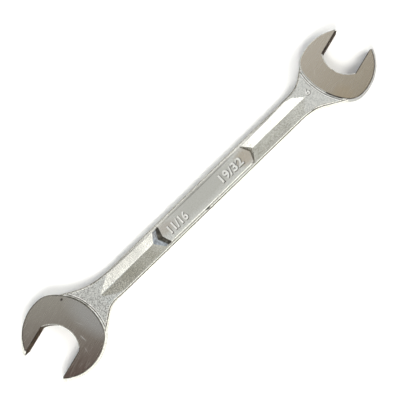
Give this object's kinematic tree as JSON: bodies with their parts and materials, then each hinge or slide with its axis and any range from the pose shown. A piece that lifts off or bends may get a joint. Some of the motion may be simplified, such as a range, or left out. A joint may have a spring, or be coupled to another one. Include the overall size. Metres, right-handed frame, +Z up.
{
  "type": "open end wrench",
  "caption": "Double open end wrench: two jaw heads turned 15 degrees, on a ridged shank with a recessed panel, for turning hex nuts.",
  "frame": {"origin": "on the surface the wrench lies on, under the middle of its outline", "axes": "+X along the shank from the large head to the small one, +Z up out of the ground faces, +Y across the shank to the small head's leading jaw"},
  "size_m": [0.1829, 0.0346, 0.0076],
  "materials": {
    "ground_steel": "ground",
    "forged_steel": "forged, satin plated"
  },
  "bodies": {
    "root": {"large_head": "ground_steel", "shank": "forged_steel", "small_head": "ground_steel"}
  },
  "joints": []
}
